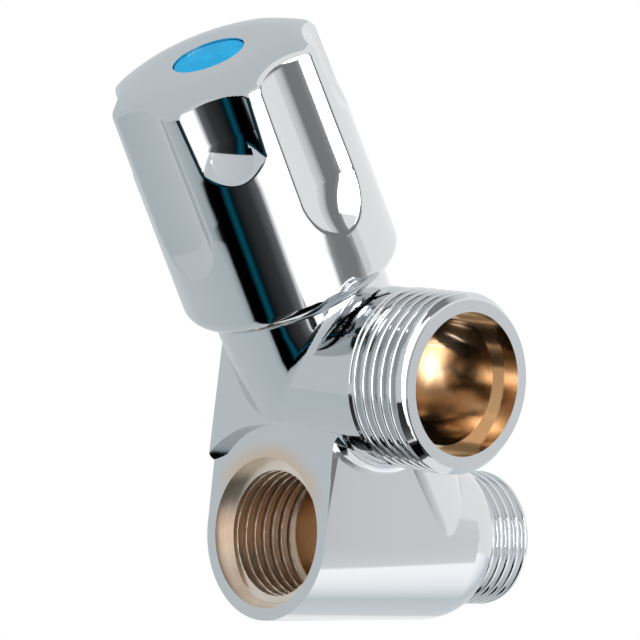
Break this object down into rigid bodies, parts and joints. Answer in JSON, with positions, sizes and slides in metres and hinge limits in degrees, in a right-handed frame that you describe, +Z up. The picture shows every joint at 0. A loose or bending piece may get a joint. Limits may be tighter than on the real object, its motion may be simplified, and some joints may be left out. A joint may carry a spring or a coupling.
{
  "type": "appliance valve",
  "caption": "Chrome-plated appliance add-on valve: threaded inlet, tap socket in line, side hose outlet and a leaning fluted handle with a blue index disc.",
  "frame": {"origin": "middle of the inlet thread's shoulder, on the run axis", "axes": "+Y along the run into the wall supply, +X out of the hose outlet, +Z up; the handle axis leans 34 degrees from +Z towards the tap socket"},
  "size_m": [0.0463, 0.0781, 0.0885],
  "materials": {
    "chrome_plate": "bright chrome plating on a polished casting",
    "brass": "bare machined brass",
    "index_blue": "glossy moulded plastic",
    "rubber": "black nitrile rubber",
    "fibre": "red vulcanised fibre",
    "steel": "bright stainless steel"
  },
  "bodies": {
    "valve_body": {"valve_body": "chrome_plate", "bonnet": "brass", "bonnet_gasket": "fibre"},
    "handle": {"handle": "chrome_plate", "index_cap": "index_blue", "handle_screw": "steel", "lock_washer": "steel", "spindle": "brass", "spindle_o_ring_lower": "rubber", "spindle_o_ring_upper": "rubber", "thrust_washer": "brass", "retaining_clip": "steel"},
    "piston": {"piston": "brass", "seat_washer": "rubber", "washer_screw": "steel"}
  },
  "joints": [
    {"name": "handle_turn", "type": "hinge", "parent": "valve_body", "child": "handle", "pos_m": [0, -0.0113, 0], "axis": [0, -0.5592, 0.829], "range_deg": [0, 900]},
    {"name": "piston_lift", "type": "slide", "parent": "valve_body", "child": "piston", "axis": [0, -0.5592, 0.829], "range_m": [0, 0.005]}
  ],
  "couplings": [
    {"joint": "piston_lift", "follows": "handle_turn", "m_per_rad": 0.0003183}
  ]
}
